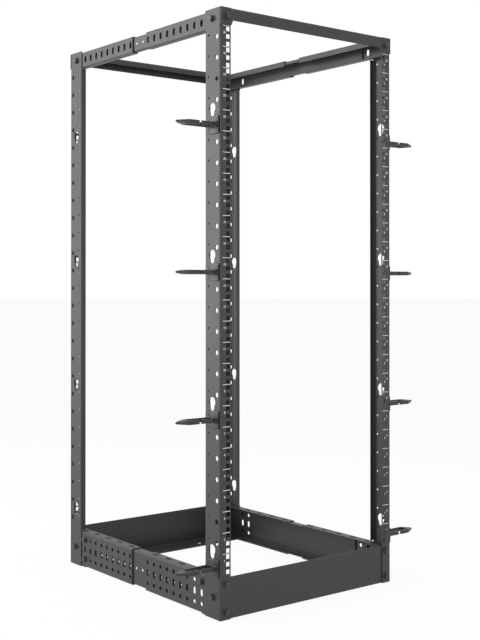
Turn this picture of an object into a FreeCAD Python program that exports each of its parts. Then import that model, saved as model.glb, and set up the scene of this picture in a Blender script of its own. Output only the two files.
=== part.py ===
"""Four post open frame rack for 19 inch equipment, 26 rack units high.

Bent and punched steel sheet, bolted together, with plastic cable hooks on the
front posts. X runs across the rack, Y from the front to the rear and Z up from
the floor. The origin is on the floor, in the middle of the rack. Lengths are
in millimetres.
"""
import FreeCAD, Part
import Sketcher
import math
import os
import re

SIZES = (
    # the frame
    ("hole_centres", 465.1, "between the two columns of square holes"),
    ("column_inset", 20.45, "outer face of a post to its column of square holes"),
    ("flange_margin", 7.15, "column of square holes to the edge of its flange"),
    ("rack_depth", 630, "depth over the outer faces of the mounting flanges"),
    ("rack_unit", 44.45, "height of one rack unit"),
    ("unit_count", 26, "rack units between the base and the top"),
    ("base_zone", 94.3, "floor to the bottom of the first unit"),
    ("top_zone", 38.9, "top of the last unit to the top of the posts"),
    ("sheet", 2, "thickness of the sheet"),
    ("inner_bend", 1.2, "inner radius of a bend"),
    ("seat_gap", 0.3, "clearance of pieces that slide into each other"),
    # the posts
    ("side_depth", 54, "depth of a post's side face"),
    ("lip_width", 13, "width of the stiffening lip at a post's inner edge"),
    ("lip_clear", 2, "lip cut away beyond the rail that passes it"),
    ("square_side", 9.5, "side of a square hole"),
    ("square_step", 15.875, "between the square holes of one unit"),
    ("side_hole", 10.5, "size of the holes in a post's side"),
    ("side_hole_inset", 13, "those holes from the mounting flange"),
    ("keyhole_count", 4, "keyholes up each post"),
    ("keyhole_step", 7, "rack units from one keyhole to the next"),
    ("keyhole_rise", 50.7, "bottom of the first unit to the lowest keyhole"),
    ("keyhole_inset", 29, "keyholes from the mounting flange"),
    ("keyhole_head", 22, "diameter of a keyhole's round head"),
    ("keyhole_slot", 14, "width of a keyhole's slot"),
    ("keyhole_drop", 12, "centre of the head to the centre of the slot's end"),
    # the top beams
    ("beam_height", 26, "height of a top beam's face"),
    ("beam_depth", 30, "depth of a top beam"),
    ("beam_lip", 14, "height of a top beam's inner lip"),
    ("tab_height", 37, "height of the ends that bolt to the posts"),
    ("tab_slope", 5, "width of the slope from a beam's face to its end"),
    # the base panels
    ("panel_height", 88.9, "height of a base panel"),
    ("panel_foot", 70, "mounting flange to the edge of a panel's floor flange"),
    ("anchor_hole", 12, "diameter of a floor anchor hole"),
    ("anchor_spacing", 242, "between the two anchor holes of a panel"),
    ("anchor_inset", 43, "anchor holes from the mounting flange"),
    # the side rails
    ("rail_gap", 58, "length of a link that shows between its sleeves"),
    ("rail_inset", 15, "mounting flange to the end of a sleeve"),
    ("base_rail_flange", 25, "width of a base sleeve's flanges"),
    ("top_rail_upper", 35, "width of a top sleeve's upper flange"),
    ("top_rail_lip", 14, "height of the lip at the edge of that flange"),
    ("top_rail_lower", 16, "width of a top sleeve's lower flange"),
    ("link_setback", 1, "edge of a link's flange behind its sleeve's edge"),
    ("link_lip", 8, "height of the lip of a top link"),
    ("top_rail_height", 38.5, "height of a top sleeve"),
    ("top_rail_drop", 3.5, "top of the posts to the top sleeves"),
    ("base_rail_height", 85, "height of a base sleeve"),
    ("slot_first", 70, "mounting flange to the first column of slots"),
    ("slot_pitch", 26, "between two columns of slots"),
    ("slot_margin", 7, "least metal from the last column of slots to the end"),
    ("slot_width", 9, "width of a slot"),
    ("top_slot_height", 16, "height of a slot in a top sleeve"),
    ("base_slot_height", 16, "height of a slot in a base sleeve"),
    ("row_offset", 24, "row of slots to the rows of holes over and under it"),
    ("row_hole", 9, "size of a hole in those rows"),
    ("top_link_start", 86, "mounting flange to the end of a top link"),
    ("base_link_start", 112, "mounting flange to the end of a base link"),
    # the cable hooks
    ("hook_drop", 36.6, "head of a keyhole down to the middle of its hook"),
    ("plate_inset", 3, "mounting flange to a hook's plate"),
    ("plate_depth", 30, "depth of a hook's plate"),
    ("plate_height", 38, "height of a hook's plate"),
    ("plate_thickness", 5, "thickness of a hook's plate"),
    ("plate_corner", 5, "size of the cut corners of a hook's plate"),
    ("root_height", 13, "height of the block between plate and ring"),
    ("ring_inset", 9, "mounting flange to a hook's ring"),
    ("ring_width", 29, "width of a hook's ring"),
    ("ring_reach", 98, "how far a hook stands out from the post"),
    ("ring_nose", 20, "length of the ring's tapered nose"),
    ("ring_tip", 8, "width of the nose at its tip"),
    ("ring_bar", 5, "width of the ring's two bars"),
    ("ring_height", 8, "height of the ring's bars"),
    ("loop_start", 8, "post to the near end of the ring's loop"),
    ("loop_end", 74, "post to the far end of the ring's loop"),
    ("loop_corner", 5, "size of the cut corners of the ring's loop"),
    ("entry_reach", 43, "post to the middle of the cable entry"),
    ("entry_width", 4, "width of the cable entry in the front bar"),
)
# what repeats most has flats in place of arcs, each over this many degrees
SIDE_HOLE_TURN = 60
ROW_HOLE_TURN = 90
KEYHOLE_FLATS = 6        # flats round the head of a keyhole
KEYHOLE_END_FLATS = 3    # and round the end of its slot
ARC_FLAT = math.sqrt(2 - math.pi / 2)    # flat that leaves as much metal as an arc

# lengths that follow from the sizes
RACK_WIDTH = "(hole_centres + 2 * column_inset)"
FLANGE_WIDTH = "(column_inset + flange_margin)"
BAY_WIDTH = f"({RACK_WIDTH} - 2 * {FLANGE_WIDTH})"
POST_HEIGHT = "(base_zone + unit_count * rack_unit + top_zone)"
OUTER_BEND = "(sheet + inner_bend)"
KEYHOLE_PITCH = "(keyhole_step * rack_unit)"
TOP_RAIL_FOOT = f"({POST_HEIGHT} - top_rail_drop - top_rail_height)"
SLEEVE_END = "(rack_depth / 2 - rail_gap / 2)"
HALF_DEPTH = "rack_depth / 2"

doc = FreeCAD.newDocument("FourPostRack")
sizes = doc.addObject("Spreadsheet::Sheet", "Sizes")
for row, (alias, number, remark) in enumerate(SIZES, start=1):
    sizes.set(f"A{row}", remark)
    sizes.set(f"B{row}", str(number))
    sizes.setAlias(f"B{row}", alias)
doc.recompute()

ALIASES = re.compile(r"\b(" + "|".join(alias for alias, _, _ in SIZES) + r")\b")


# ---- helpers ---------------------------------------------------------------

def bind(target, name, formula):
    """Ties one property to a formula of the sheet's sizes."""
    target.setExpression(name, ALIASES.sub(r"Sizes.\1", str(formula)))


def worth(formula):
    """The present value of a formula of the sheet's sizes."""
    return float(sizes.evalExpression(str(formula)))


def new_body(label, x, y, z):
    """An empty body whose origin stands at the formulas x, y and z."""
    owner = doc.addObject("PartDesign::Body", label)
    owner.Label = label
    for axis, formula in zip("xyz", (x, y, z)):
        bind(owner, f"Placement.Base.{axis}", formula)
    return owner


def datum(owner, role):
    """One plane or axis of the body's own origin."""
    return next(item for item in owner.Origin.OriginFeatures if item.Role == role)


def new_sketch(owner, name, role, height="0"):
    """An empty sketch on a plane of the body, raised by the formula height."""
    sketch = owner.newObject("Sketcher::SketchObject", name)
    sketch.AttachmentSupport = (datum(owner, role), [""])
    sketch.MapMode = "FlatFace"
    if height != "0":
        bind(sketch, "AttachmentOffset.Base.z", height)
    return sketch


def fix_point(sketch, geometry, vertex, x, y):
    """Places one vertex of the sketch by two formulas."""
    for kind, formula, axis in (("DistanceX", x, -2), ("DistanceY", y, -1)):
        if formula == "0":
            sketch.addConstraint(
                Sketcher.Constraint("PointOnObject", geometry, vertex, axis))
            continue
        number = sketch.addConstraint(
            Sketcher.Constraint(kind, -1, 1, geometry, vertex, worth(formula)))
        bind(sketch, f"Constraints[{number}]", formula)


def outline(sketch, corners):
    """Draws one closed outline through corners given as pairs of formulas."""
    points = [FreeCAD.Vector(worth(x), worth(y), 0) for x, y in corners]
    first = sketch.GeometryCount
    for start, end in zip(points, points[1:] + points[:1]):
        sketch.addGeometry(Part.LineSegment(start, end))
    for index in range(len(points)):
        following = (index + 1) % len(points)
        sketch.addConstraint(Sketcher.Constraint(
            "Coincident", first + index, 2, first + following, 1))
    for index, (x, y) in enumerate(corners):
        fix_point(sketch, first + index, 1, x, y)


def rectangle(sketch, x, y, width, height):
    """Draws a rectangle about its middle."""
    outline(sketch, [(f"{x} {i} ({width}) / 2", f"{y} {j} ({height}) / 2")
                     for i, j in (("-", "-"), ("+", "-"), ("+", "+"), ("-", "+"))])


def circle(sketch, x, y, diameter):
    """Draws one circle by the formulas of its centre and diameter."""
    centre = FreeCAD.Vector(worth(x), worth(y), 0)
    ring = sketch.addGeometry(
        Part.Circle(centre, FreeCAD.Vector(0, 0, 1), worth(diameter) / 2))
    number = sketch.addConstraint(
        Sketcher.Constraint("Diameter", ring, worth(diameter)))
    bind(sketch, f"Constraints[{number}]", diameter)
    fix_point(sketch, ring, 3, x, y)


def arc_corners(x, y, size, start, turn, flats):
    """Corners of flats along an arc, from a start angle through a turn."""
    flats = round(flats)
    steps = [f"{start} + {index / flats} * ({turn})" for index in range(flats + 1)]
    return [(f"{x} + {size} / 2 * cos({step})", f"{y} + {size} / 2 * sin({step})")
            for step in steps]


def small_hole(sketch, x, y, size, turn):
    """Draws a small hole with a few flats in place of its circle."""
    corners = arc_corners(x, y, size, f"{turn / 2} deg", "360 deg", round(360 / turn))
    outline(sketch, corners[:-1])


def keyhole(sketch, x, y):
    """Draws a round head with a narrower slot that hangs from it."""
    neck = "acos(keyhole_slot / keyhole_head)"
    head = arc_corners(x, y, "keyhole_head", f"0 deg - {neck}",
                       f"180 deg + 2 * {neck}", KEYHOLE_FLATS)
    end = arc_corners(x, f"{y} - keyhole_drop", "keyhole_slot", "180 deg",
                      "180 deg", KEYHOLE_END_FLATS)
    outline(sketch, head + end)


def pad(owner, sketch, name, length, sides="One side", backwards=False):
    feature = owner.newObject("PartDesign::Pad", name)
    feature.Profile = sketch
    bind(feature, "Length", length)
    feature.SideType = sides
    feature.Reversed = backwards
    doc.recompute()
    return feature


def cut(owner, sketch, name, length, sides="Symmetric", backwards=False):
    """Cuts a sketch into the body, and makes sure that it meets metal."""
    before = owner.Shape.Volume
    feature = owner.newObject("PartDesign::Pocket", name)
    feature.Profile = sketch
    bind(feature, "Length", length)
    feature.SideType = sides
    feature.Reversed = backwards
    doc.recompute()
    if not owner.Shape.Volume < before - 1e-3:
        raise RuntimeError(f"{owner.Label}: {name} cuts nothing")
    return feature


def punch(owner, sketch, name):
    """Cuts a sketch on a face of the sheet through that sheet alone."""
    return cut(owner, sketch, name, "4 * sheet")


def repeat(owner, features, name, axis, count, pitch):
    """Repeats features along an axis of the body."""
    pattern = owner.newObject("PartDesign::LinearPattern", name)
    pattern.Originals = features
    pattern.Direction = (datum(owner, axis), [""])
    pattern.Mode = "Spacing"
    bind(pattern, "Occurrences", count)
    bind(pattern, "Offset", pitch)
    owner.Tip = pattern
    doc.recompute()
    return pattern


def flatten_corners(owner, name, axis, corners, size):
    """Cuts a flat along the edges along an axis that pass through the corners."""
    doc.recompute()
    base = owner.Tip
    across = [index for index in range(3) if "xyz"[index] != axis]
    found = []
    for corner in corners:
        target = [worth(formula) for formula in corner]
        names = []
        for number, edge in enumerate(base.Shape.Edges, start=1):
            ends = [vertex.Point for vertex in edge.Vertexes]
            if all(abs(end[index] - goal) < 1e-4
                   for end in ends for index, goal in zip(across, target)):
                names.append(f"Edge{number}")
        if not names:
            raise RuntimeError(f"{owner.Label}: {name} finds no edge at {corner}")
        found += names
    feature = owner.newObject("PartDesign::Chamfer", name)
    feature.Base = (base, found)
    bind(feature, "Size", size)
    doc.recompute()
    return feature


def bends(owner, axis, outer, inner):
    """Takes the corners off a folded section, outside and inside."""
    flatten_corners(owner, "outer_bends", axis, outer, f"{ARC_FLAT} * {OUTER_BEND}")
    flatten_corners(owner, "inner_bends", axis, inner, f"{ARC_FLAT} * inner_bend")


def mirrored(source, label, axis):
    """The same piece on the other side of the rack's middle plane."""
    twin = doc.addObject("Part::Mirroring", label)
    twin.Label = label
    twin.Source = source
    twin.Normal = FreeCAD.Vector(*(float(axis == name) for name in "xyz"))
    return twin


# ---- posts -----------------------------------------------------------------

def make_post(label):
    """Channel post: mounting flange in front, side face, lip at its inner edge."""
    post = new_body(label, f"0 - {RACK_WIDTH} / 2", f"0 - {HALF_DEPTH}", "0")
    section = new_sketch(post, "post_section", "XY_Plane")
    outline(section, [
        ("0", "0"), (FLANGE_WIDTH, "0"), (FLANGE_WIDTH, "sheet"), ("sheet", "sheet"),
        ("sheet", "side_depth - sheet"), ("lip_width", "side_depth - sheet"),
        ("lip_width", "side_depth"), ("0", "side_depth")])
    pad(post, section, "post_length", POST_HEIGHT)
    bends(post, "z", [("0", "0"), ("0", "side_depth")],
          [("sheet", "sheet"), ("sheet", "side_depth - sheet")])

    # the lip makes way for the rails that pass it
    base_way = "(sheet + base_rail_height + lip_clear)"
    top_way = "(top_rail_drop + top_rail_height + lip_clear)"
    for name, level, length, upwards in (
            ("base_rail_way", "0", base_way, True),
            ("top_rail_way", POST_HEIGHT, top_way, False)):
        way = new_sketch(post, name + "_outline", "XY_Plane", level)
        rectangle(way, "(sheet + lip_width)", "side_depth",
                  "2 * lip_width", f"2 * {OUTER_BEND}")
        cut(post, way, name, length, "One side", upwards)

    squares = new_sketch(post, "square_holes", "XZ_Plane")
    for step in (-1, 0, 1):
        rectangle(squares, "column_inset",
                  f"base_zone + rack_unit / 2 + {step} * square_step",
                  "square_side", "square_side")
    unit_squares = punch(post, squares, "unit_squares")

    rounds = new_sketch(post, "side_holes", "YZ_Plane")
    small_hole(rounds, "side_hole_inset", "base_zone + rack_unit / 2",
               "side_hole", SIDE_HOLE_TURN)
    unit_round = punch(post, rounds, "unit_side_hole")
    repeat(post, [unit_squares, unit_round], "all_units", "Z_Axis",
           "unit_count", "rack_unit")

    keyholes = new_sketch(post, "keyhole_outline", "YZ_Plane")
    keyhole(keyholes, "keyhole_inset", "base_zone + keyhole_rise")
    lowest = punch(post, keyholes, "lowest_keyhole")
    repeat(post, [lowest], "all_keyholes", "Z_Axis", "keyhole_count", KEYHOLE_PITCH)
    return post


# ---- beams and panels across the rack --------------------------------------

def make_top_beam(label):
    """Channel between the posts whose face runs on over their flanges."""
    beam = new_body(label, "0", f"0 - {HALF_DEPTH}", POST_HEIGHT)
    section = new_sketch(beam, "beam_section", "YZ_Plane")
    outline(section, [
        ("0 - sheet", "0"), ("0 - sheet", "0 - beam_height"), ("0", "0 - beam_height"),
        ("0", "0 - sheet"), ("beam_depth - 2 * sheet", "0 - sheet"),
        ("beam_depth - 2 * sheet", "0 - beam_lip"),
        ("beam_depth - sheet", "0 - beam_lip"), ("beam_depth - sheet", "0")])
    pad(beam, section, "beam_length", f"{BAY_WIDTH} - 2 * seat_gap", "Symmetric")
    bends(beam, "x", [("0 - sheet", "0"), ("beam_depth - sheet", "0")],
          [("0", "0 - sheet"), ("beam_depth - 2 * sheet", "0 - sheet")])

    ends = new_sketch(beam, "end_tabs", "XZ_Plane")
    near = f"({BAY_WIDTH} / 2 - seat_gap)"
    far = f"({RACK_WIDTH} / 2)"
    for sign in ("0 -", "0 +"):
        outline(ends, [
            (f"{sign} {near}", "0"), (f"{sign} {far}", "0"),
            (f"{sign} {far}", "0 - tab_height"), (f"{sign} {near}", "0 - tab_height"),
            (f"{sign} ({near} - tab_slope)", "0 - beam_height")])
    pad(beam, ends, "end_tab_plates", "sheet")
    return beam


def make_base_panel(label):
    """Upright panel between the posts with a flange on the floor."""
    panel = new_body(label, "0", f"sheet - {HALF_DEPTH}", "0")
    section = new_sketch(panel, "panel_section", "YZ_Plane")
    outline(section, [
        ("0", "0"), ("panel_foot - sheet", "0"), ("panel_foot - sheet", "sheet"),
        ("sheet", "sheet"), ("sheet", "panel_height"), ("0", "panel_height")])
    pad(panel, section, "panel_length",
        f"{RACK_WIDTH} - 2 * ({OUTER_BEND} + seat_gap)", "Symmetric")
    bends(panel, "x", [("0", "0")], [("sheet", "sheet")])
    anchors = new_sketch(panel, "anchor_holes", "XY_Plane")
    for sign in ("0 -", "0 +"):
        circle(anchors, f"{sign} anchor_spacing / 2", "anchor_inset - sheet",
               "anchor_hole")
    punch(panel, anchors, "anchors")
    return panel


# ---- side rails ------------------------------------------------------------

def channel(label, x, y, z, length, height, lower, upper, lip=None):
    """Channel along the rack's depth, open towards the middle of the rack.

    Its lower and upper flanges have widths of their own, and the upper one may
    have a lip that hangs from its edge.
    """
    rail = new_body(label, x, y, z)
    section = new_sketch(rail, "rail_section", "XZ_Plane")
    under = f"{height} - sheet"
    corners = [("0", "0"), (lower, "0"), (lower, "sheet"), ("sheet", "sheet"),
               ("sheet", under)]
    outer = [("0", "0"), ("0", height)]
    inner = [("sheet", "sheet"), ("sheet", under)]
    if lip:
        corners += [(f"{upper} - sheet", under), (f"{upper} - sheet", f"{height} - {lip}"),
                    (upper, f"{height} - {lip}")]
        outer.append((upper, height))
        inner.append((f"{upper} - sheet", under))
    else:
        corners.append((upper, under))
    outline(section, corners + [(upper, height), ("0", height)])
    pad(rail, section, "rail_length", length, backwards=True)
    bends(rail, "y", outer, inner)
    return rail


def make_sleeve(label, foot, height, lower, upper, lip, slot_height, with_rows):
    """One of the two outer channels of a side rail, with its rows of slots."""
    rail = channel(label, f"sheet - {RACK_WIDTH} / 2", f"rail_inset - {HALF_DEPTH}",
                   foot, f"{SLEEVE_END} - rail_inset", height, lower, upper, lip)
    if lip:
        # the wide flange makes way for the beam that ends beside it
        way = new_sketch(rail, "beam_way_outline", "XY_Plane", height)
        rectangle(way, f"{FLANGE_WIDTH} - sheet - seat_gap + {upper} / 2", "0",
                  upper, "2 * (beam_depth - sheet + lip_clear - rail_inset)")
        cut(rail, way, "beam_way", lip, "One side")
    column = new_sketch(rail, "slot_column", "YZ_Plane")
    first = "(slot_first - rail_inset)"
    rectangle(column, first, f"{height} / 2", "slot_width", slot_height)
    if with_rows:
        for sign in ("-", "+"):
            small_hole(column, first, f"{height} / 2 {sign} row_offset",
                       "row_hole", ROW_HOLE_TURN)
    slots = punch(rail, column, "first_slots")
    repeat(rail, [slots], "all_slots", "Y_Axis",
           f"floor(({SLEEVE_END} - slot_margin - slot_first) / slot_pitch) + 1",
           "slot_pitch")
    return rail


def make_link(label, foot, sleeve_height, lower, upper, lip, start):
    """Inner channel that slides in both sleeves and sets the rack's depth."""
    height = f"({sleeve_height} - 2 * sheet - 2 * seat_gap)"
    length = f"(rack_depth - 2 * {start})"
    behind = "sheet + seat_gap" if lip else "link_setback"
    return channel(label, f"2 * sheet - {RACK_WIDTH} / 2", f"{start} - {HALF_DEPTH}",
                   f"{foot} + sheet + seat_gap", length, height,
                   f"({lower} - sheet - link_setback)", f"({upper} - sheet - {behind})",
                   "link_lip" if lip else None)


# ---- cable hooks -----------------------------------------------------------

def make_hook(label, number):
    """Plastic cable hook: plate on the post and a flat ring that stands out."""
    level = f"base_zone + keyhole_rise + {number} * {KEYHOLE_PITCH} - hook_drop"
    hook = new_body(label, f"0 - {RACK_WIDTH} / 2", f"0 - {HALF_DEPTH}", level)

    plate = new_sketch(hook, "plate_outline", "YZ_Plane")
    rectangle(plate, "plate_inset + plate_depth / 2", "0",
              "plate_depth", "plate_height")
    pad(hook, plate, "plate", "plate_thickness", backwards=True)
    near, far = "plate_inset", "plate_inset + plate_depth"
    low, high = "0 - plate_height / 2", "plate_height / 2"
    flatten_corners(hook, "plate_corners", "x",
                    [(near, low), (far, low), (near, high), (far, high)],
                    "plate_corner")

    ring = new_sketch(hook, "ring_outline", "XY_Plane")
    front, back = "ring_inset", "(ring_inset + ring_width)"
    middle = "(ring_inset + ring_width / 2)"
    shoulder = "0 - (ring_reach - ring_nose)"
    outline(ring, [
        ("0 - plate_thickness / 2", front), (shoulder, front),
        ("0 - ring_reach", f"{middle} - ring_tip / 2"),
        ("0 - ring_reach", f"{middle} + ring_tip / 2"),
        (shoulder, back), ("0 - plate_thickness / 2", back)])
    pad(hook, ring, "ring", "ring_height", "Symmetric")

    root = new_sketch(hook, "root_outline", "YZ_Plane")
    rectangle(root, "plate_inset + plate_depth / 2", "0",
              "plate_depth - 2 * plate_corner", "root_height")
    pad(hook, root, "root", "loop_start", backwards=True)

    loop = new_sketch(hook, "loop_outline", "XY_Plane")
    rectangle(loop, "0 - (loop_start + loop_end) / 2", middle,
              "loop_end - loop_start", "ring_width - 2 * ring_bar")
    cut(hook, loop, "loop", "2 * ring_height")
    inner_front = "ring_inset + ring_bar"
    inner_back = "ring_inset + ring_width - ring_bar"
    flatten_corners(hook, "loop_corners", "z",
                    [("0 - loop_end", inner_front), ("0 - loop_end", inner_back)],
                    "loop_corner")

    entry = new_sketch(hook, "entry_outline", "XY_Plane")
    rectangle(entry, "0 - entry_reach", "ring_inset + ring_bar / 2",
              "entry_width", "2 * ring_bar")
    cut(hook, entry, "cable_entry", "2 * ring_height")
    return hook


# ---- the rack --------------------------------------------------------------

pieces = []


def place(piece):
    """Counts a piece as one of the rack's and hands it on."""
    pieces.append(piece)
    return piece


front_post = place(make_post("post_front_left"))
place(mirrored(front_post, "post_front_right", "x"))
rear_post = place(mirrored(front_post, "post_rear_left", "y"))
place(mirrored(rear_post, "post_rear_right", "x"))

for make, name in ((make_top_beam, "top_beam"), (make_base_panel, "base_panel")):
    front_piece = place(make(f"{name}_front"))
    place(mirrored(front_piece, f"{name}_rear", "y"))

RAILS = (
    ("top_rail", TOP_RAIL_FOOT,
     ("top_rail_height", "top_rail_lower", "top_rail_upper", "top_rail_lip"),
     "top_slot_height", "top_link_start", False),
    ("base_rail", "sheet",
     ("base_rail_height", "base_rail_flange", "base_rail_flange", None),
     "base_slot_height", "base_link_start", True),
)
for name, foot, section_sizes, slot_height, start, with_rows in RAILS:
    sleeve = place(make_sleeve(f"{name}_left_front", foot, *section_sizes, slot_height,
                               with_rows))
    rear_sleeve = place(mirrored(sleeve, f"{name}_left_rear", "y"))
    link = place(make_link(f"{name}_left_link", foot, *section_sizes, start))
    place(mirrored(sleeve, f"{name}_right_front", "x"))
    place(mirrored(rear_sleeve, f"{name}_right_rear", "x"))
    place(mirrored(link, f"{name}_right_link", "x"))

for number in range(round(worth("keyhole_count"))):
    hook = place(make_hook(f"cable_hook_left_{number + 1}", number))
    place(mirrored(hook, f"cable_hook_right_{number + 1}", "x"))

doc.recompute()
for item in doc.Objects:
    if "Invalid" in item.State or "Error" in item.State:
        raise RuntimeError(f"{item.Label} did not build")
for piece in pieces:
    if piece.Shape.isNull() or not piece.Shape.isValid():
        raise RuntimeError(f"{piece.Label} has no sound shape")

os.makedirs("parts", exist_ok=True)
for piece in pieces:
    piece.Shape.exportStep(f"parts/{piece.Label}.step")
print(f"{len(pieces)} pieces exported")
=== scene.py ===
"""Looks of the four post open frame rack: punched and folded steel, cable hooks,
bolts and printed unit marks, in a plain white studio."""
import math

import bmesh
import bpy
from mathutils import Matrix, Vector


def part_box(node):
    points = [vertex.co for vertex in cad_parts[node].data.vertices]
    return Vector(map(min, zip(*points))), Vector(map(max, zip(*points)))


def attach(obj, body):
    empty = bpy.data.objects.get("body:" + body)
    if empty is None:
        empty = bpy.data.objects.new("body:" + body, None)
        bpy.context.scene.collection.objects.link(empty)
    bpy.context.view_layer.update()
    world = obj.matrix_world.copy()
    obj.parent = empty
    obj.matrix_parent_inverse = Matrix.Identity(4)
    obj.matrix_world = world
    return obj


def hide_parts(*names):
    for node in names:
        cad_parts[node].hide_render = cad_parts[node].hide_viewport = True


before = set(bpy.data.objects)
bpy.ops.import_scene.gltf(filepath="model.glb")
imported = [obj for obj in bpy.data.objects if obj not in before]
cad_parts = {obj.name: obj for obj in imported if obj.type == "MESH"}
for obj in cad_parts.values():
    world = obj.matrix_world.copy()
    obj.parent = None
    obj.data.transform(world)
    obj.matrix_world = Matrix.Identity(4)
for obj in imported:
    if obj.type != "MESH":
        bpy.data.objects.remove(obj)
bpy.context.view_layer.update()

MM = 0.001
X, Y, Z = Vector((1, 0, 0)), Vector((0, 1, 0)), Vector((0, 0, 1))

# ---- sizes, in metres ----------------------------------------------------------
# the frame gives the outer sizes
post_low, post_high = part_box("post_front_left")
HALF_WIDTH = -post_low.x
HALF_DEPTH = -post_low.y
HEIGHT = post_high.z
FLANGE = post_high.x - post_low.x
SIDE = post_high.y - post_low.y

# the sheet
SHEET = 2 * MM
BEND = 1.2 * MM              # inner radius of a bend
TURN = SHEET + BEND          # outer radius
EDGE = 0.25 * MM             # bevel of a punched edge
SHARP = math.radians(32)     # edges that turn more than this stay sharp

# the posts
UNIT = 44.45 * MM
UNITS = 26
BASE_ZONE = 94.3 * MM
LIP = 13 * MM
LIP_CLEAR = 2 * MM
SQUARE = 9.5 * MM
SQUARE_STEP = 15.875 * MM
COLUMN = 20.45 * MM          # square holes from the post's outer face
SIDE_HOLE = 10.5 * MM
SIDE_HOLE_INSET = 13 * MM
PILOT_HOLE = 5 * MM
PILOT_INSET = 41 * MM
PILOT_RISE = 6.5 * MM        # above the middle of its unit
KEYHOLES = 4
KEYHOLE_PITCH = 7 * UNIT
KEYHOLE_RISE = 50.7 * MM
KEYHOLE_INSET = 29 * MM
KEYHOLE_HEAD = 22 * MM
KEYHOLE_SLOT = 14 * MM
KEYHOLE_DROP = 12 * MM

# the rails
SLOT_FIRST = 70 * MM
SLOT_PITCH = 26 * MM
SLOT_MARGIN = 7 * MM
SLOT_WIDTH = 9 * MM
TOP_SLOT = 16 * MM
BASE_SLOT = 16 * MM
ROW_OFFSET = 24 * MM
ROW_HOLE = 9 * MM
FLANGE_SLOT_FIRST = 56 * MM
FLANGE_SLOT_PITCH = 52 * MM
FLANGE_SLOT_LENGTH = 22 * MM
FLANGE_SLOT_WIDTH = 6.5 * MM
FLANGE_SLOTS = 5
TOP_RAIL_LOWER = 16 * MM     # lower flange of a top sleeve
TOP_RAIL_LIP = 14 * MM
BEAM_WAY = 15 * MM           # length where its upper flange clears the beam
BEAM_CLEAR = 0.3 * MM        # between a beam and what it passes
LINK_SETBACK = 1 * MM
LINK_GAP = 1.2 * MM          # between a sleeve's web and the link's
TOP_LINK_LIP = 8 * MM
RIVET_HEAD = 5.6 * MM
RIVET_HEIGHT = 0.9 * MM
RIVET_EDGE = 0.4 * MM
RIVET_START = 13 * MM        # from the middle of the link
BASE_RIVETS = 7              # in each half of a base link

# the beams and panels
TAB_SLOPE = 5 * MM
BEAM_FACE = 26 * MM
BEAM_LIP = 14 * MM
ANCHOR_HOLE = 12 * MM
ANCHOR_SPACING = 242 * MM
ANCHOR_INSET = 43 * MM

# the plates of the cable hooks, insets being measured back from the post's front
HOOK_DROP = 36.6 * MM        # below the head of its keyhole
PLASTIC_EDGE = 0.6 * MM
PLATE_INSET = 3 * MM
PLATE_DEPTH = 33 * MM        # the thick front part
PLATE_SPREAD = 47 * MM       # the whole plate
PLATE_HEIGHT = 38 * MM
PLATE_THICKNESS = 3 * MM
PLATE_THIN = 2 * MM
PLATE_CORNER = 4 * MM
PLATE_STEP = 4 * MM          # the thin part is lower than the thick one
PLATE_SLIT = 2.4 * MM
SLIT_STEP = 14 * MM          # the slit is shorter than the plate is high
FRONT_RIM = 4 * MM           # width of the raised front edge
FRONT_RIM_STEP = 5 * MM
FRONT_RIM_CORNER = 1.5 * MM
FRONT_RIM_RAISE = 0.8 * MM
ROOT_STEP = 6 * MM           # the root block is narrower than the thick part
ROOT_HEIGHT = 13 * MM
ROOT_CORNER = 2 * MM
ROOT_EDGE = 0.8 * MM

# their rings, reaches and loops being measured out from the post
RING_INSET = 9 * MM
RING_WIDTH = 29 * MM
RING_REACH = 98 * MM
RING_NOSE = 26 * MM
NOSE_TAPER = 0.5            # share of the height that the tip loses
RING_NUB = 2.5 * MM
RING_TIP = 4.4 * MM
RING_BAR = 5 * MM
RING_HEIGHT = 9.2 * MM
RING_CORNER = 2.4 * MM
RING_EDGE = 0.7 * MM
RING_RIM = 2.6 * MM
RING_RECESS = 1.2 * MM
RECESS_FOOT = 1 * MM         # the recessed middle starts above the lower rim's foot
NUB_EDGE = 1.2 * MM
NECK_LENGTH = 6 * MM
NECK_WIDTH = 2.4 * MM
LOOP_START = 8 * MM
LOOP_END = 74 * MM
ENTRY = 43 * MM
ENTRY_WIDTH = 4.4 * MM

# the bolts: places are insets from the nearest outer faces, and levels
BOLT_HEAD = 11.5 * MM        # across its flats
BOLT_HEIGHT = 6.5 * MM
BOLT_EDGE = 0.6 * MM
BOLT_FLANGE = 16.5 * MM
BOLT_FLANGE_HEIGHT = 1.4 * MM
BOLT_FLANGE_EDGE = 0.5 * MM
SIDE_BOLTS = ((30 * MM, HEIGHT - 20.5 * MM), (27.5 * MM, 45 * MM))
BEAM_BOLT_INSET = 17 * MM
BEAM_BOLT_LEVEL = HEIGHT - 18.5 * MM
PANEL_BOLT_INSET = 15.5 * MM
PANEL_BOLT_LEVELS = (16 * MM, 76 * MM)

# the printed marks
MARK_START = 6.5 * MM        # from the post's outer face
MARK_END = 25.5 * MM
MARK_WIDTH = 1.15 * MM
MARK_RAISE = 0.04 * MM
NUMBER_SIZE = 6.6 * MM
NUMBER_INSET = 11.2 * MM
NUMBER_DROP = 14.4 * MM      # below the line of its unit
NUMBER_SPREAD = 0.1 * MM     # makes the strokes bolder

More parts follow.
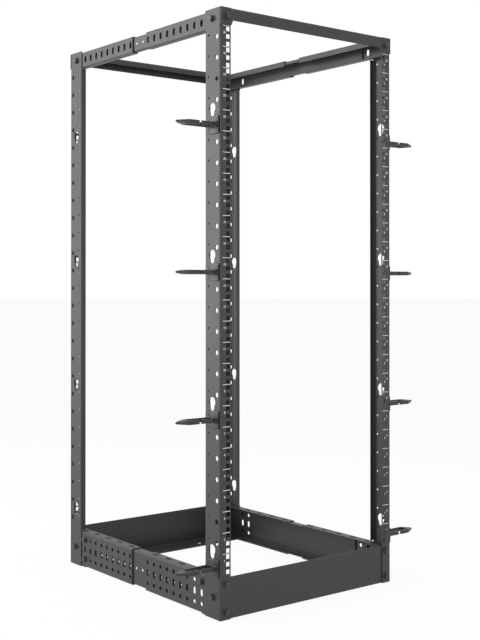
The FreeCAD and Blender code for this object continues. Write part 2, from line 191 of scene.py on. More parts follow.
# the view, and the soft lamps: name, place, target, width, height, watts
LENS = 62.33
LENS_SHIFT = -0.0703
CAMERA_PLACE = (-1.6556, -2.1646, 0.7087)
CAMERA_TILT = math.radians(90.392)
CAMERA_TURN = math.radians(-38.19)
LAMPS = (("left", (-1.8, 1.6, 1.2), (-0.25, 0.35, 0.75), 1.0, 2.2, 37),
         ("top", (-0.2, -0.2, 2.9), (0, 0, 0.6), 2.2, 2.2, 26),
         ("front", (-1.9, -2.4, 1.3), (-0.25, -0.3, 0.8), 0.8, 2.0, 26),
         ("right", (1.6, -2.2, 0.7), (0.2, -0.3, 0.4), 0.8, 1.2, 3))
AMBIENT = 0.55               # strength of the world where it lights the rack
FLOOR_SHADE = 0.08           # share of the matt floor, with its shadow, that shows
FLOOR_REACH = 45
FLOOR_DROP = 0.2 * MM        # keeps the floor off the rack's feet


# ---- outlines ------------------------------------------------------------------

def rectangle(x, y, width, height):
    return [(x - width / 2, y - height / 2), (x + width / 2, y - height / 2),
            (x + width / 2, y + height / 2), (x - width / 2, y + height / 2)]


def arc(x, y, radius, start, turn, steps):
    """Points along an arc, angles in degrees."""
    angles = [math.radians(start + turn * i / steps) for i in range(steps + 1)]
    return [(x + radius * math.cos(a), y + radius * math.sin(a)) for a in angles]


def circle(x, y, diameter, steps=24):
    return arc(x, y, diameter / 2, 0, 360, steps)[:-1]


def obround(x, y, width, height, steps=8):
    """A slot with round ends, upright or lying."""
    radius = min(width, height) / 2
    dx, dy = width / 2 - radius, height / 2 - radius
    if dy > dx:
        return (arc(x, y + dy, radius, 0, 180, steps)
                + arc(x, y - dy, radius, 180, 180, steps))
    return (arc(x + dx, y, radius, -90, 180, steps)
            + arc(x - dx, y, radius, 90, 180, steps))


def rounded(corners, radius, steps=4):
    """The outline through some corners, each one rounded off."""
    points = []
    for i, here in enumerate(corners):
        here = Vector(here)
        before, after = Vector(corners[i - 1]), Vector(corners[(i + 1) % len(corners)])
        half = (before - here).angle(after - here) / 2
        reach = min(radius / math.tan(half), 0.45 * (before - here).length,
                    0.45 * (after - here).length)
        start = here + (before - here).normalized() * reach
        end = here + (after - here).normalized() * reach
        for k in range(steps + 1):
            t = k / steps
            points.append(tuple(start * (1 - t) ** 2 + here * 2 * t * (1 - t) + end * t ** 2))
    return points


def keyhole(x, y):
    """A round head with a narrower slot that hangs from it, along -y."""
    neck = math.degrees(math.acos(KEYHOLE_SLOT / KEYHOLE_HEAD))
    return (arc(x, y, KEYHOLE_HEAD / 2, -neck, 180 + 2 * neck, 24)
            + arc(x, y - KEYHOLE_DROP, KEYHOLE_SLOT / 2, 180, 180, 12))


def turned(outlines):
    """The same outlines with x and y swapped."""
    return [[(y, x) for x, y in outline] for outline in outlines]


# ---- pieces made of plates and bends ---------------------------------------------

def shade(mesh):
    """Shades a mesh smooth but for its sharp edges."""
    mesh.polygons.foreach_set("use_smooth", [True] * len(mesh.polygons))
    mesh.set_sharp_from_angle(angle=SHARP)


class Piece:
    """Collects plates, bends and other solids of one piece into one mesh."""

    def __init__(self):
        self.mesh = bmesh.new()

    def plate(self, outline, holes, origin, u, v, w, thickness=SHEET, bevel=EDGE,
              rounds=0):
        """A flat plate drawn along u and v from origin, as thick as it grows along w."""
        curve = bpy.data.curves.new("plate", "CURVE")
        curve.dimensions = "2D"
        curve.fill_mode = "BOTH"
        curve.extrude = thickness / 2 - bevel
        curve.bevel_depth = bevel
        curve.bevel_resolution = rounds
        curve.offset = -bevel
        for loop in [outline, *holes]:
            spline = curve.splines.new("POLY")
            spline.points.add(len(loop) - 1)
            for point, (x, y) in zip(spline.points, loop):
                point.co = (x, y, 0, 1)
            spline.use_cyclic_u = True
        holder = bpy.data.objects.new("plate", curve)
        flat = bpy.data.meshes.new_from_object(holder)
        bpy.data.objects.remove(holder)
        bpy.data.curves.remove(curve)
        flat.transform(Matrix.Translation(Vector(origin) + w * thickness / 2)
                       @ Matrix((u, v, w)).transposed().to_4x4())
        self.mesh.from_mesh(flat)
        bpy.data.meshes.remove(flat)

    def bend(self, centre, start, end, along, length, steps=6):
        """A quarter turn of sheet about a line, from one direction to the other."""
        rings = []
        for i in range(steps + 1):
            angle = math.pi / 2 * i / steps
            way = start * math.cos(angle) + end * math.sin(angle)
            rings.append([self.mesh.verts.new(Vector(centre) + way * r + along * s)
                          for r, s in ((BEND, 0), (TURN, 0), (TURN, length), (BEND, length))])
        for a, b in zip(rings, rings[1:]):
            for i in range(4):
                j = (i + 1) % 4
                self.mesh.faces.new((a[i], a[j], b[j], b[i]))
        self.mesh.faces.new(rings[0])
        self.mesh.faces.new(reversed(rings[-1]))

    def channel(self, origin, u, v, along, length, width, flanges, web_holes=(),
                flange_holes=((), ()), spans=(None, None), outlines=(None, None)):
        """A folded channel: its web runs along v, its flanges along u.

        Outlines are drawn with the length first. A flange may cover only a span
        of the length, have an outline of its own, or no width and not be there.
        """
        low = TURN - EDGE if flanges[0] else 0
        high = width - TURN + EDGE if flanges[1] else width
        if spans[1]:
            start, end = spans[1]
            top = [(length, width), (end, width), (end, high), (start, high),
                   (start, width), (0, width)]
        else:
            top = [(length, high), (0, high)]
        self.plate([(0, low), (length, low), *top], web_holes, origin, along, v, u)
        for side, reach in enumerate(flanges):
            if not reach:
                continue
            start, end = spans[side] or (0, length)
            edge = Vector(origin) + v * (width if side else 0)
            inward = -v if side else v
            outline = [(start, reach), (end, reach)] if not outlines[side] else outlines[side]
            self.plate([(end, TURN - EDGE), (start, TURN - EDGE), *outline],
                       flange_holes[side], edge, along, u, inward)
            self.bend(edge + u * TURN + inward * TURN + along * start, -u, -inward,
                      along, end - start)

    def loose(self, name):
        """The piece as an object that is in no scene, to be repeated."""
        mesh = bpy.data.meshes.new(name)
        bmesh.ops.recalc_face_normals(self.mesh, faces=self.mesh.faces)
        self.mesh.to_mesh(mesh)
        shade(mesh)
        return bpy.data.objects.new(name, mesh)

    def finish(self, name, flip=""):
        """Makes the object, mirrored in the rack's middle plane across each axis named."""
        mesh = bpy.data.meshes.new(name)
        copy = self.mesh.copy()
        bmesh.ops.transform(copy, verts=copy.verts, matrix=Matrix.Diagonal(
            [-1 if axis in flip else 1 for axis in "xyz"] + [1]))
        bmesh.ops.remove_doubles(copy, verts=copy.verts, dist=1e-6)
        bmesh.ops.recalc_face_normals(copy, faces=copy.faces)
        copy.to_mesh(mesh)
        copy.free()
        shade(mesh)
        return show(name, mesh)


def show(name, mesh):
    """Puts a mesh in the scene as an object at the origin."""
    piece = bpy.data.objects.new(name, mesh)
    bpy.context.scene.collection.objects.link(piece)
    return piece


def dress(piece, node, material):
    """Hands a finished piece to the frame in place of a CAD node."""
    piece.data.materials.append(material)
    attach(piece, "root")
    if node:
        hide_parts(node)
    return piece


# ---- posts -----------------------------------------------------------------------

def unit_middle(number):
    """Height of the middle of a rack unit, the lowest one being 0."""
    return BASE_ZONE + (number + 0.5) * UNIT


def keyhole_level(number):
    """Height of a keyhole's head, the lowest one being 0."""
    return BASE_ZONE + KEYHOLE_RISE + number * KEYHOLE_PITCH


def make_post(top_rail, base_rail):
    """Channel with a punched flange and side, and a lip between the rails' boxes."""
    squares = [rectangle(unit_middle(n) + k * SQUARE_STEP, COLUMN, SQUARE, SQUARE)
               for n in range(UNITS) for k in (-1, 0, 1)]
    side = [circle(unit_middle(n), SIDE_HOLE_INSET, SIDE_HOLE) for n in range(UNITS)]
    side += [circle(unit_middle(n) + PILOT_RISE, PILOT_INSET, PILOT_HOLE, 16)
             for n in range(UNITS)]
    side += turned(keyhole(KEYHOLE_INSET, keyhole_level(n)) for n in range(KEYHOLES))
    lip_span = (base_rail[1].z + LIP_CLEAR, top_rail[0].z - LIP_CLEAR)
    post = Piece()
    post.channel((-HALF_WIDTH, -HALF_DEPTH, 0), X, Y, Z, HEIGHT, SIDE, (FLANGE, LIP),
                 side, (squares, ()), (None, lip_span))
    return post


# ---- rails -----------------------------------------------------------------------

def slot_columns(low, high):
    """Distances of a sleeve's slots from its start."""
    first = -HALF_DEPTH + SLOT_FIRST
    count = math.floor((high.y - SLOT_MARGIN - first) / SLOT_PITCH) + 1
    return [first + SLOT_PITCH * i - low.y for i in range(count)]


def make_base_sleeve():
    """Channel with slots between two rows of holes, and long slots in its top."""
    low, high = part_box("base_rail_left_front")
    height, length, flange = high.z - low.z, high.y - low.y, high.x - low.x
    columns = slot_columns(low, high)
    web = [obround(s, height / 2, SLOT_WIDTH, BASE_SLOT) for s in columns]
    web += [circle(s, height / 2 + k * ROW_OFFSET, ROW_HOLE, 20)
            for s in columns for k in (-1, 1)]
    first = FLANGE_SLOT_FIRST - HALF_DEPTH - low.y
    over = [obround(first + FLANGE_SLOT_PITCH * i, (SHEET + flange) / 2,
                    FLANGE_SLOT_LENGTH, FLANGE_SLOT_WIDTH) for i in range(FLANGE_SLOTS)]
    rail = Piece()
    rail.channel(low, X, Z, Y, length, height, (flange, flange), web, ((), over))
    return rail


def hang_lip(rail, high, start, length, reach):
    """Folds the edge of an upper flange down; high is the flange's far corner."""
    edge = Vector((high.x, start, high.z))
    rail.bend(edge - X * TURN - Z * TURN, X, Z, Y, length)
    rail.plate([(0, TURN - EDGE), (length, TURN - EDGE), (length, reach), (0, reach)], (),
               edge, Y, -Z, -X)


def make_top_sleeve():
    """Channel whose wide upper flange ends in a lip, and makes way for the beam."""
    low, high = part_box("top_rail_left_front")
    height, length, flange = high.z - low.z, high.y - low.y, high.x - low.x
    web = [obround(s, height / 2, SLOT_WIDTH, TOP_SLOT) for s in slot_columns(low, high)]
    clear = FLANGE - SHEET - BEAM_CLEAR
    reach = flange - TURN + EDGE
    over = [(0, clear), (BEAM_WAY, clear), (BEAM_WAY, reach), (length, reach)]
    rail = Piece()
    rail.channel(low, X, Z, Y, length, height, (TOP_RAIL_LOWER, flange), web,
                 outlines=(None, over))
    hang_lip(rail, high, low.y + BEAM_WAY, length - BEAM_WAY, TOP_RAIL_LIP)
    return rail


def make_top_link():
    """The channel that slides in two top sleeves, with a lip of its own."""
    low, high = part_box("top_rail_left_link")
    height, length, flange = high.z - low.z, high.y - low.y, high.x - low.x
    flanges = (TOP_RAIL_LOWER - SHEET - LINK_SETBACK, flange - TURN + EDGE)
    rail = Piece()
    rail.channel(low + X * LINK_GAP, X, Z, Y, length, height,
                 [reach - LINK_GAP for reach in flanges])
    hang_lip(rail, high, low.y, length, TOP_LINK_LIP)
    return rail


def make_base_link():
    """The plain channel that slides in two base sleeves."""
    low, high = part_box("base_rail_left_link")
    height, length = high.z - low.z, high.y - low.y
    flange = high.x - low.x - LINK_GAP
    rail = Piece()
    rail.channel(low + X * LINK_GAP, X, Z, Y, length, height, (flange, flange))
    return rail


# ---- beams and panels --------------------------------------------------------------

def make_top_beam():
    """A face with end tabs, and a folded top and inner lip between the posts."""
    low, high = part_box("top_beam_front")
    tab = high.z - low.z
    half = HALF_WIDTH
    near = half - FLANGE - BEAM_CLEAR
    beam = Piece()
    face = [(-half, 0), (-half, -tab), (-near, -tab), (-near + TAB_SLOPE, -BEAM_FACE),
            (near - TAB_SLOPE, -BEAM_FACE), (near, -tab), (half, -tab), (half, 0),
            (near, 0), (near, -TURN + EDGE), (-near, -TURN + EDGE), (-near, 0)]
    beam.plate(face, (), (0, low.y, high.z), X, Z, Y)
    top = [(-near, TURN - EDGE), (near, TURN - EDGE),
           (near, high.y - low.y - TURN + EDGE), (-near, high.y - low.y - TURN + EDGE)]
    beam.plate(top, (), (0, low.y, high.z), X, Y, -Z)
    lip = [(-near, TURN - EDGE), (near, TURN - EDGE), (near, BEAM_LIP), (-near, BEAM_LIP)]
    beam.plate(lip, (), (0, high.y, high.z), X, -Z, -Y)
    for y, way in ((low.y + TURN, -Y), (high.y - TURN, Y)):
        beam.bend((-near, y, high.z - TURN), way, Z, X, 2 * near)
    return beam


def make_base_panel():
    """An upright plate that is folded to a floor flange with two anchor holes."""
    low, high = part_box("base_panel_front")
    length = high.x - low.x
    anchors = [circle(length / 2 + k * ANCHOR_SPACING / 2,
                      ANCHOR_INSET - HALF_DEPTH - low.y, ANCHOR_HOLE, 32)
               for k in (-1, 1)]
    panel = Piece()
    panel.channel(low, Y, Z, X, length, high.z - low.z, (high.y - low.y, 0),
                  (), (anchors, ()))
    return panel


# ---- cable hooks -------------------------------------------------------------------

def ring_outline(inset):
    """A ring with a blunt nose and a cable entry, drawn out from the post and back.

    A positive inset draws its sides in, as in the recess between its two rims.
    """
    front, back = RING_INSET + inset, RING_INSET + RING_WIDTH - inset
    middle = (front + back) / 2
    bar = RING_BAR - 2 * inset
    start, end = LOOP_START - inset, LOOP_END + inset
    nose, blunt = RING_REACH - RING_NUB - inset, RING_TIP / 2 - inset / 2
    shoulder = RING_REACH - RING_NOSE
    gap = ENTRY_WIDTH / 2 + inset
    return rounded([
        (ENTRY + gap, front), (shoulder, front), (nose, middle - blunt),
        (nose, middle + blunt), (shoulder, back), (PLATE_THICKNESS / 2, back),
        (PLATE_THICKNESS / 2, front), (ENTRY - gap, front), (ENTRY - gap, front + bar),
        (start, front + bar), (start, back - bar), (end, back - bar),
        (end, front + bar), (ENTRY + gap, front + bar)], RING_CORNER)


def hook_plate(hook, start):
    """The plate on the post: thick in front, then a slit and a thinner part."""
    slit = rectangle(PLATE_INSET + PLATE_DEPTH + PLATE_SLIT / 2, 0, PLATE_SLIT,
                     PLATE_HEIGHT - SLIT_STEP)
    for depth, height, thickness, holes in (
            (PLATE_SPREAD, PLATE_HEIGHT - PLATE_STEP, PLATE_THIN, (slit,)),
            (PLATE_DEPTH, PLATE_HEIGHT, PLATE_THICKNESS, ())):
        plate = rounded(rectangle(PLATE_INSET + depth / 2, 0, depth, height), PLATE_CORNER)
        hook.plate(plate, holes, start, Y, Z, -X, thickness, PLASTIC_EDGE, 2)
    rim = rounded(rectangle(PLATE_INSET + FRONT_RIM / 2, 0, FRONT_RIM,
                            PLATE_HEIGHT - FRONT_RIM_STEP), FRONT_RIM_CORNER)
    hook.plate(rim, (), start, Y, Z, -X, PLATE_THICKNESS + FRONT_RIM_RAISE, PLASTIC_EDGE, 2)


def hook_ring(hook, start):
    """Two rims with a recess between them, and a small nub on a neck at the tip."""
    half = RING_HEIGHT / 2
    for foot, height, inset in (
            (-half, RING_RIM, 0), (half - RING_RIM, RING_RIM, 0),
            (-half + RECESS_FOOT, RING_HEIGHT - 2 * RECESS_FOOT, RING_RECESS)):
        hook.plate(ring_outline(inset), (), start + Z * foot, -X, Y, Z,
                   height, RING_EDGE, 2)
    middle = RING_INSET + RING_WIDTH / 2
    nub = circle(RING_REACH - RING_TIP / 2, middle, RING_TIP, 16)
    hook.plate(nub, (), start - Z * RING_TIP / 2, -X, Y, Z, RING_TIP, NUB_EDGE, 3)
    neck = rectangle(RING_REACH - RING_NUB, middle, NECK_LENGTH, NECK_WIDTH)
    hook.plate(neck, (), start - Z * NECK_WIDTH / 2, -X, Y, Z, NECK_WIDTH, PLASTIC_EDGE, 2)


def taper_nose(hook, start):
    """Makes the ring's nose thinner towards its tip."""
    for vert in hook.mesh.verts:
        reach = start.x - vert.co.x
        share = max(reach - LOOP_END, 0) / (RING_REACH - LOOP_END)
        vert.co.z = start.z + (vert.co.z - start.z) * (1 - share * NOSE_TAPER)


def make_hook(number):
    """One cable hook: a plate on the post's side, a root block and a flat ring."""
    start = Vector((-HALF_WIDTH, -HALF_DEPTH, keyhole_level(number) - HOOK_DROP))
    hook = Piece()
    hook_plate(hook, start)
    hook_ring(hook, start)
    taper_nose(hook, start)
    root = rectangle(PLATE_INSET + PLATE_DEPTH / 2, 0, PLATE_DEPTH - ROOT_STEP, ROOT_HEIGHT)
    hook.plate(rounded(root, ROOT_CORNER), (), start, Y, Z, -X, LOOP_START, ROOT_EDGE, 2)
    return hook


# ---- bolts and rivets, by a node group -----------------------------------------------

def bolt_head():
    """A hexagon head on a round flange, standing on z = 0."""
    head = Piece()
    head.plate(circle(0, 0, BOLT_FLANGE, 24), (), (0, 0, 0), X, Y, Z,
               BOLT_FLANGE_HEIGHT, BOLT_FLANGE_EDGE, 2)
    corners = circle(0, 0, BOLT_HEAD / math.cos(math.pi / 6), 6)
    head.plate(corners, (), (0, 0, 0), X, Y, Z, BOLT_HEIGHT, BOLT_EDGE, 2)
    return head.loose("bolt_head")


def rivet_head():
    """A low domed head, standing on z = 0."""
    head = Piece()
    head.plate(circle(0, 0, RIVET_HEAD, 20), (), (0, 0, 0), X, Y, Z,
               RIVET_HEIGHT, RIVET_EDGE, 2)
    return head.loose("rivet_head")


class Group:
    """A geometry node group under construction."""

    def __init__(self, name, inputs):
        self.tree = bpy.data.node_groups.new(name, "GeometryNodeTree")
        face = self.tree.interface
        face.new_socket("Geometry", in_out="INPUT", socket_type="NodeSocketGeometry")
        self.keys = {}
        for label, kind in inputs:
            socket = face.new_socket(label, in_out="INPUT", socket_type="NodeSocket" + kind)
            self.keys[label] = socket.identifier
        face.new_socket("Geometry", in_out="OUTPUT", socket_type="NodeSocketGeometry")
        self.inputs = self.tree.nodes.new("NodeGroupInput")
        self.output = self.tree.nodes.new("NodeGroupOutput")

    def node(self, kind, links=None, **settings):
        """A node with its settings, and its inputs linked or set by name or place."""
        made = self.tree.nodes.new(kind)
        for key, value in settings.items():
            setattr(made, key, value)
        for key, value in (links or {}).items():
            if isinstance(value, bpy.types.NodeSocket):
                self.tree.links.new(value, made.inputs[key])
            else:
                made.inputs[key].default_value = value
        return made

    def close(self, instances, finish):
        """Makes the instances real, sets their material and ends the group."""
        real = self.node("GeometryNodeRealizeInstances", {"Geometry": instances})
        painted = self.node("GeometryNodeSetMaterial",
                            {"Geometry": real.outputs["Geometry"], "Material": finish})
        self.tree.links.new(painted.outputs["Geometry"], self.output.inputs[0])

    def apply(self, mesh, name, values):
        """Runs the group on a mesh and gives back the plain mesh that it makes."""
        holder = show(name, mesh)
        modifier = holder.modifiers.new(name, "NODES")
        modifier.node_group = self.tree
        for label, value in values.items():
            modifier[self.keys[label]] = value
        graph = bpy.context.evaluated_depsgraph_get()
        made = bpy.data.meshes.new_from_object(holder.evaluated_get(graph))
        bpy.data.objects.remove(holder)
        made.name = name
        return made


def fastener_group():
    """Puts a head on each point of a mesh, turned to the point's facing."""
    group = Group("fasteners", [("Head", "Object"), ("Size", "Float"), ("Finish", "Material")])
    given = group.inputs.outputs
    head = group.node("GeometryNodeObjectInfo", {"Object": given["Head"]})
    facing = group.node("GeometryNodeInputNamedAttribute", {"Name": "facing"},
                        data_type="FLOAT_VECTOR")
    turn = group.node("FunctionNodeAlignRotationToVector",
                      {"Vector": facing.outputs["Attribute"]}, axis="Z")
    heads = group.node("GeometryNodeInstanceOnPoints", {
        "Points": given["Geometry"], "Instance": head.outputs["Geometry"],
        "Rotation": turn.outputs["Rotation"], "Scale": given["Size"]})
    group.close(heads.outputs["Instances"], given["Finish"])
    return group


def points_mesh(places):
    """A mesh of loose points, each with the way it faces."""
    mesh = bpy.data.meshes.new("places")
    mesh.from_pydata([place for place, _ in places], [], [])
    facing = mesh.attributes.new("facing", "FLOAT_VECTOR", "POINT")
    for item, (_, way) in zip(facing.data, places):
        item.vector = way
    return mesh


def bolt_places():
    """Where each bolt stands, and the way it faces."""
    places = []
    beam_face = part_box("top_beam_front")[0].y
    rail_low, rail_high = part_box("base_rail_left_front")
    column = HALF_DEPTH - SLOT_FIRST
    middle = (rail_low.z + rail_high.z) / 2
    for sx in (-1, 1):
        for sy in (-1, 1):
            side, front = sx * X, sy * Y
            for inset, level in SIDE_BOLTS:
                places.append(((sx * HALF_WIDTH, sy * (HALF_DEPTH - inset), level), side))
            places.append(((sx * (HALF_WIDTH - BEAM_BOLT_INSET), -sy * beam_face,
                            BEAM_BOLT_LEVEL), front))
            for level in PANEL_BOLT_LEVELS:
                places.append(((sx * (HALF_WIDTH - PANEL_BOLT_INSET), sy * HALF_DEPTH,
                                level), front))
            # the front ends of the base rails have no bolt in their lower row
            for row in (-1, 1) if sy > 0 else (1,):
                places.append(((sx * -rail_low.x, sy * column,
                                middle + row * ROW_OFFSET), side))
    return places


def rivet_places(rail, count):
    """Rows of rivets along the outer faces of a rail's two links, from their middles."""
    low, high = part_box(rail + "_left_link")
    level = (low.z + high.z) / 2
    return [((sx * -(low.x + LINK_GAP), sy * (RIVET_START + SLOT_PITCH * i), level), sx * X)
            for i in range(count) for sx in (-1, 1) for sy in (-1, 1)]


# ---- printed marks ---------------------------------------------------------------------

def mark_group():
    """A ladder of thin bars, one at the top of each unit."""
    group = Group("unit_marks", [("Count", "Int"), ("Pitch", "Float"),
                                 ("Bar", "Vector"), ("Finish", "Material")])
    given = group.inputs.outputs
    rise = group.node("ShaderNodeCombineXYZ", {"Z": given["Pitch"]})
    line = group.node("GeometryNodeMeshLine",
                      {"Count": given["Count"], "Offset": rise.outputs["Vector"]})
    bar = group.node("GeometryNodeMeshCube", {"Size": given["Bar"]})
    bars = group.node("GeometryNodeInstanceOnPoints", {
        "Points": line.outputs["Mesh"], "Instance": bar.outputs["Mesh"]})
    group.close(bars.outputs["Instances"], given["Finish"])
    return group


def number_mesh(number):
    """The unit's number as a thin plate, upright and centred on the origin."""
    text = bpy.data.curves.new("number", "FONT")
    text.body = str(number)
    text.size = NUMBER_SIZE
    text.extrude = MARK_RAISE / 2
    text.offset = NUMBER_SPREAD
    text.align_x = "CENTER"
    text.align_y = "CENTER"
    holder = bpy.data.objects.new("number", text)
    mesh = bpy.data.meshes.new_from_object(holder)
    bpy.data.objects.remove(holder)
    bpy.data.curves.remove(text)
    return mesh


def unit_marks(name, group, sx, sy, ink):
    """Lines and numbers up one post's mounting flange, on the side that it faces."""
    bars = group.apply(bpy.data.meshes.new("none"), name, {
        "Count": UNITS, "Pitch": UNIT, "Finish": ink,
        "Bar": (MARK_END - MARK_START, 2 * MARK_RAISE, MARK_WIDTH)})
    bars.transform(Matrix.Translation((
        sx * (HALF_WIDTH - (MARK_START + MARK_END) / 2), sy * HALF_DEPTH,
        BASE_ZONE + UNIT)))
    both = bmesh.new()
    both.from_mesh(bars)
    across, away = Vector((-sy, 0, 0)), Vector((0, sy, 0))
    stand = Matrix((across, Z, away)).transposed().to_4x4()
    for number in range(UNITS):
        plate = number_mesh(number + 1)
        level = BASE_ZONE + (number + 1) * UNIT - NUMBER_DROP
        place = Vector((sx * (HALF_WIDTH - NUMBER_INSET), sy * HALF_DEPTH, level))
        plate.transform(Matrix.Translation(place + away * MARK_RAISE / 2) @ stand)
        both.from_mesh(plate)
        bpy.data.meshes.remove(plate)
    both.to_mesh(bars)
    both.free()
    piece = show(name, bars)
    piece.data.materials.clear()
    return dress(piece, None, ink)


# ---- materials -------------------------------------------------------------------------

class Wire:
    """A value in a shader, which can be added to and multiplied."""

    def __init__(self, nodes, socket):
        self.nodes, self.socket = nodes, socket

    def maths(self, operation, other):
        return self.nodes.node("ShaderNodeMath", {0: self, 1: other}, operation=operation)

    def __add__(self, other):
        return self.maths("ADD", other)

    def __mul__(self, other):
        return self.maths("MULTIPLY", other)

    __radd__, __rmul__ = __add__, __mul__


class Nodes:
    """A tree of shader nodes under construction."""

    def __init__(self, tree):
        self.tree = tree

    def node(self, kind, links=None, output=0, **settings):
        """A node with its settings and inputs; gives one of its outputs."""
        made = self.tree.nodes.new(kind)
        for key, value in settings.items():
            setattr(made, key, value)
        for key, value in (links or {}).items():
            self.feed(made.inputs[key], value)
        return Wire(self, made.outputs[output])

    def feed(self, socket, value):
        if isinstance(value, Wire):
            self.tree.links.new(value.socket, socket)
        else:
            socket.default_value = value


class Shader(Nodes):
    """A material under construction."""

    def __init__(self, name):
        self.material = bpy.data.materials.new(name)
        self.material.use_nodes = True
        super().__init__(self.material.node_tree)
        self.surface = self.tree.nodes["Principled BSDF"]

    def set(self, **values):
        for key, value in values.items():
            self.feed(self.surface.inputs[key.replace("_", " ")], value)

    def noise(self, scale, detail=2.0, stretch=None):
        """Noise over the object, with a scale of grains per metre."""
        place = self.node("ShaderNodeTexCoord", output="Object")
        if stretch:
            place = self.node("ShaderNodeMapping", {"Vector": place, "Scale": stretch})
        return self.node("ShaderNodeTexNoise",
                         {"Vector": place, "Scale": scale, "Detail": detail})

    def between(self, factor, low, high):
        """A colour between two."""
        return self.node("ShaderNodeMix", {"Factor": factor, 6: (*low, 1), 7: (*high, 1)},
                         output=2, data_type="RGBA")

    def bump(self, height, distance, strength):
        return self.node("ShaderNodeBump", {"Height": height, "Distance": distance,
                                            "Strength": strength})


def powder_coat(name, dark, light):
    """Fine grained satin powder coat on steel."""
    coat = Shader(name)
    cloud = coat.noise(14, 3.0)
    grain = coat.noise(1500, 1.0)
    peel = coat.noise(380, 2.0)
    coat.set(Base_Color=coat.between(cloud * 0.7 + grain * 0.3, dark, light),
             Roughness=cloud * 0.10 + grain * 0.08 + 0.36,
             Normal=coat.bump(grain + peel * 1.4, 0.03 * MM, 0.35))
    return coat.material


def moulded_plastic():
    """Black plastic with a faint spark-eroded skin."""
    skin = Shader("hook_plastic")
    cloud = skin.noise(30, 2.0)
    grain = skin.noise(2200, 1.0)
    skin.set(Base_Color=skin.between(cloud, (0.016, 0.016, 0.018), (0.025, 0.025, 0.028)),
             Roughness=cloud * 0.10 + 0.36,
             Normal=skin.bump(grain, 0.02 * MM, 0.3))
    return skin.material


def bolt_steel():
    """Blackened steel of the bolt heads."""
    black = Shader("bolt_black")
    cloud = black.noise(120, 2.0)
    black.set(Base_Color=black.between(cloud, (0.020, 0.020, 0.021), (0.042, 0.042, 0.044)),
              Roughness=cloud * 0.15 + 0.34)
    return black.material


def plated_steel(name, dark, light):
    """Zinc plating of rivet heads, slightly uneven."""
    plating = Shader(name)
    cloud = plating.noise(400, 2.0)
    plating.set(Base_Color=plating.between(cloud, dark, light),
                Roughness=cloud * 0.2 + 0.28, Metallic=1.0)
    return plating.material


def white_ink():
    """Matt printed marks, slightly uneven."""
    ink = Shader("mark_ink")
    cloud = ink.noise(300, 2.0)
    ink.set(Base_Color=ink.between(cloud, (0.70, 0.71, 0.72), (0.84, 0.85, 0.86)),
            Roughness=0.6)
    return ink.material


# ---- the studio ------------------------------------------------------------------------

def seen_directly(nodes):
    """1 for camera, glossy and transmission rays, and 0 for the others."""
    path = nodes.tree.nodes.new("ShaderNodeLightPath")
    camera, glossy, through = (Wire(nodes, path.outputs[f"Is {kind} Ray"])
                               for kind in ("Camera", "Glossy", "Transmission"))
    return camera.maths("MAXIMUM", glossy).maths("MAXIMUM", through)


def make_world():
    """White where it is seen directly, and a dimmer light on everything else."""
    world = bpy.data.worlds.new("studio")
    bpy.context.scene.world = world
    world.use_nodes = True
    sky = Nodes(world.node_tree)
    background = sky.tree.nodes["Background"]
    strength = sky.node("ShaderNodeMapRange", {
        "Value": seen_directly(sky), "To Min": AMBIENT, "To Max": 1.0})
    sky.feed(background.inputs["Color"], (1, 1, 1, 1))
    sky.feed(background.inputs["Strength"], strength)


def make_floor():
    """A pale floor that looks white and keeps part of the shadow."""
    mesh = bpy.data.meshes.new("floor")
    mesh.from_pydata([(x * FLOOR_REACH, y * FLOOR_REACH, -FLOOR_DROP) for x, y in
                      ((-1, -1), (1, -1), (1, 1), (-1, 1))], [], [(0, 1, 2, 3)])
    floor = show("floor", mesh)
    paint = Shader("floor")
    paint.tree.nodes.remove(paint.surface)
    matt = paint.node("ShaderNodeBsdfDiffuse", {"Color": (0.9, 0.9, 0.9, 1)})
    glow = paint.node("ShaderNodeEmission", {"Color": (1, 1, 1, 1)})
    mix = paint.node("ShaderNodeMixShader", {
        0: seen_directly(paint) * (1 - FLOOR_SHADE), 1: matt, 2: glow})
    paint.feed(paint.tree.nodes["Material Output"].inputs["Surface"], mix)
    mesh.materials.append(paint.material)


def softbox(name, place, target, width, height, power):
    """A soft rectangular lamp that faces its target."""
    lamp = bpy.data.lights.new(name, "AREA")
    lamp.shape = "RECTANGLE"
    lamp.size, lamp.size_y = width, height
    lamp.energy = power
    holder = bpy.data.objects.new(name, lamp)
    holder.location = place
    way = Vector(target) - Vector(place)
    holder.rotation_euler = way.to_track_quat("-Z", "Y").to_euler()
    bpy.context.scene.collection.objects.link(holder)


def make_camera():
    """The camera, in front of the rack and to its left, at about half its height."""
    lens = bpy.data.cameras.new("camera")
    lens.sensor_width = 36
    lens.lens = LENS
    lens.shift_y = LENS_SHIFT
    lens.clip_end = 50
    camera = bpy.data.objects.new("camera", lens)
    camera.location = CAMERA_PLACE
    camera.rotation_euler = (CAMERA_TILT, 0, CAMERA_TURN)
    bpy.context.scene.collection.objects.link(camera)
    bpy.context.scene.camera = camera


# ---- everything together -----------------------------------------------------------------

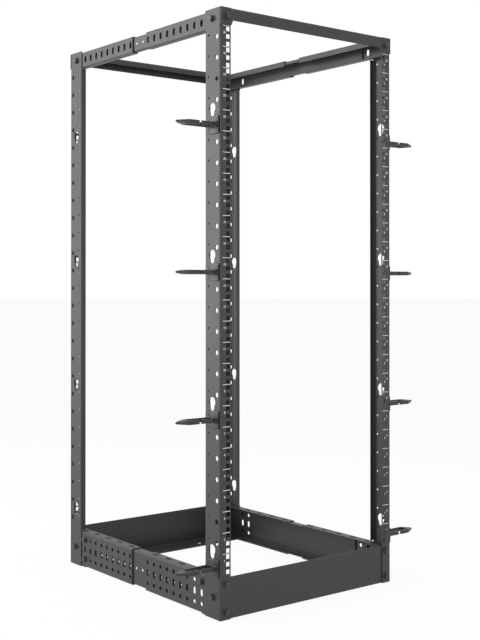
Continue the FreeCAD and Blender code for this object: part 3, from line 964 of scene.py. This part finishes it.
steel = powder_coat("rack_steel", (0.017, 0.018, 0.020), (0.027, 0.028, 0.031))
plastic = moulded_plastic()
black = bolt_steel()
zinc = plated_steel("rivet_zinc", (0.62, 0.63, 0.65), (0.78, 0.79, 0.80))
# the top rivets get a darker copy of the same zinc, which paints shade on them
zinc_painted_shade = plated_steel("rivet_zinc_painted_shade", (0.25, 0.25, 0.26), (0.34, 0.34, 0.35))
ink = white_ink()

# the left front piece is modelled, and the others are its mirror images
FOUR_WAYS = (("front", "left", ""), ("front", "right", "x"),
             ("rear", "left", "y"), ("rear", "right", "xy"))

post = make_post(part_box("top_rail_left_front"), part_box("base_rail_left_front"))
for end, side, flip in FOUR_WAYS:
    node = f"post_{end}_{side}"
    dress(post.finish(node + "_steel", flip), node, steel)

for name, piece in (("top_beam", make_top_beam()), ("base_panel", make_base_panel())):
    for end, flip in (("front", ""), ("rear", "y")):
        node = f"{name}_{end}"
        dress(piece.finish(node + "_steel", flip), node, steel)

for name, sleeve, link in (("top_rail", make_top_sleeve(), make_top_link()),
                           ("base_rail", make_base_sleeve(), make_base_link())):
    for end, side, flip in FOUR_WAYS:
        node = f"{name}_{side}_{end}"
        dress(sleeve.finish(node + "_steel", flip), node, steel)
    for side, flip in (("left", ""), ("right", "x")):
        node = f"{name}_{side}_link"
        dress(link.finish(node + "_steel", flip), node, steel)

for number in range(KEYHOLES):
    hook = make_hook(number)
    for side, flip in (("left", ""), ("right", "x")):
        node = f"cable_hook_{side}_{number + 1}"
        dress(hook.finish(node + "_plastic", flip), node, plastic)

heads_on_points = fastener_group()
for name, head, places, finish in (
        ("bolts", bolt_head(), bolt_places(), black),
        # the top rivets wear the darker copy of the zinc: painted shade
        ("rivets_top", rivet_head(), rivet_places("top_rail", 1), zinc_painted_shade),
        ("rivets_base", rivet_head(), rivet_places("base_rail", BASE_RIVETS), zinc)):
    made = heads_on_points.apply(points_mesh(places), name,
                                 {"Head": head, "Size": 1.0, "Finish": finish})
    bpy.data.objects.remove(head)
    made.materials.clear()
    dress(show(name, made), None, finish)

marks = mark_group()
for end, sy in (("front", -1), ("rear", 1)):
    for side, sx in (("left", -1), ("right", 1)):
        unit_marks(f"unit_marks_{end}_{side}", marks, sx, sy, ink)

make_world()
make_floor()
for lamp in LAMPS:
    softbox(*lamp)
make_camera()
bpy.context.scene.view_settings.view_transform = "Standard"
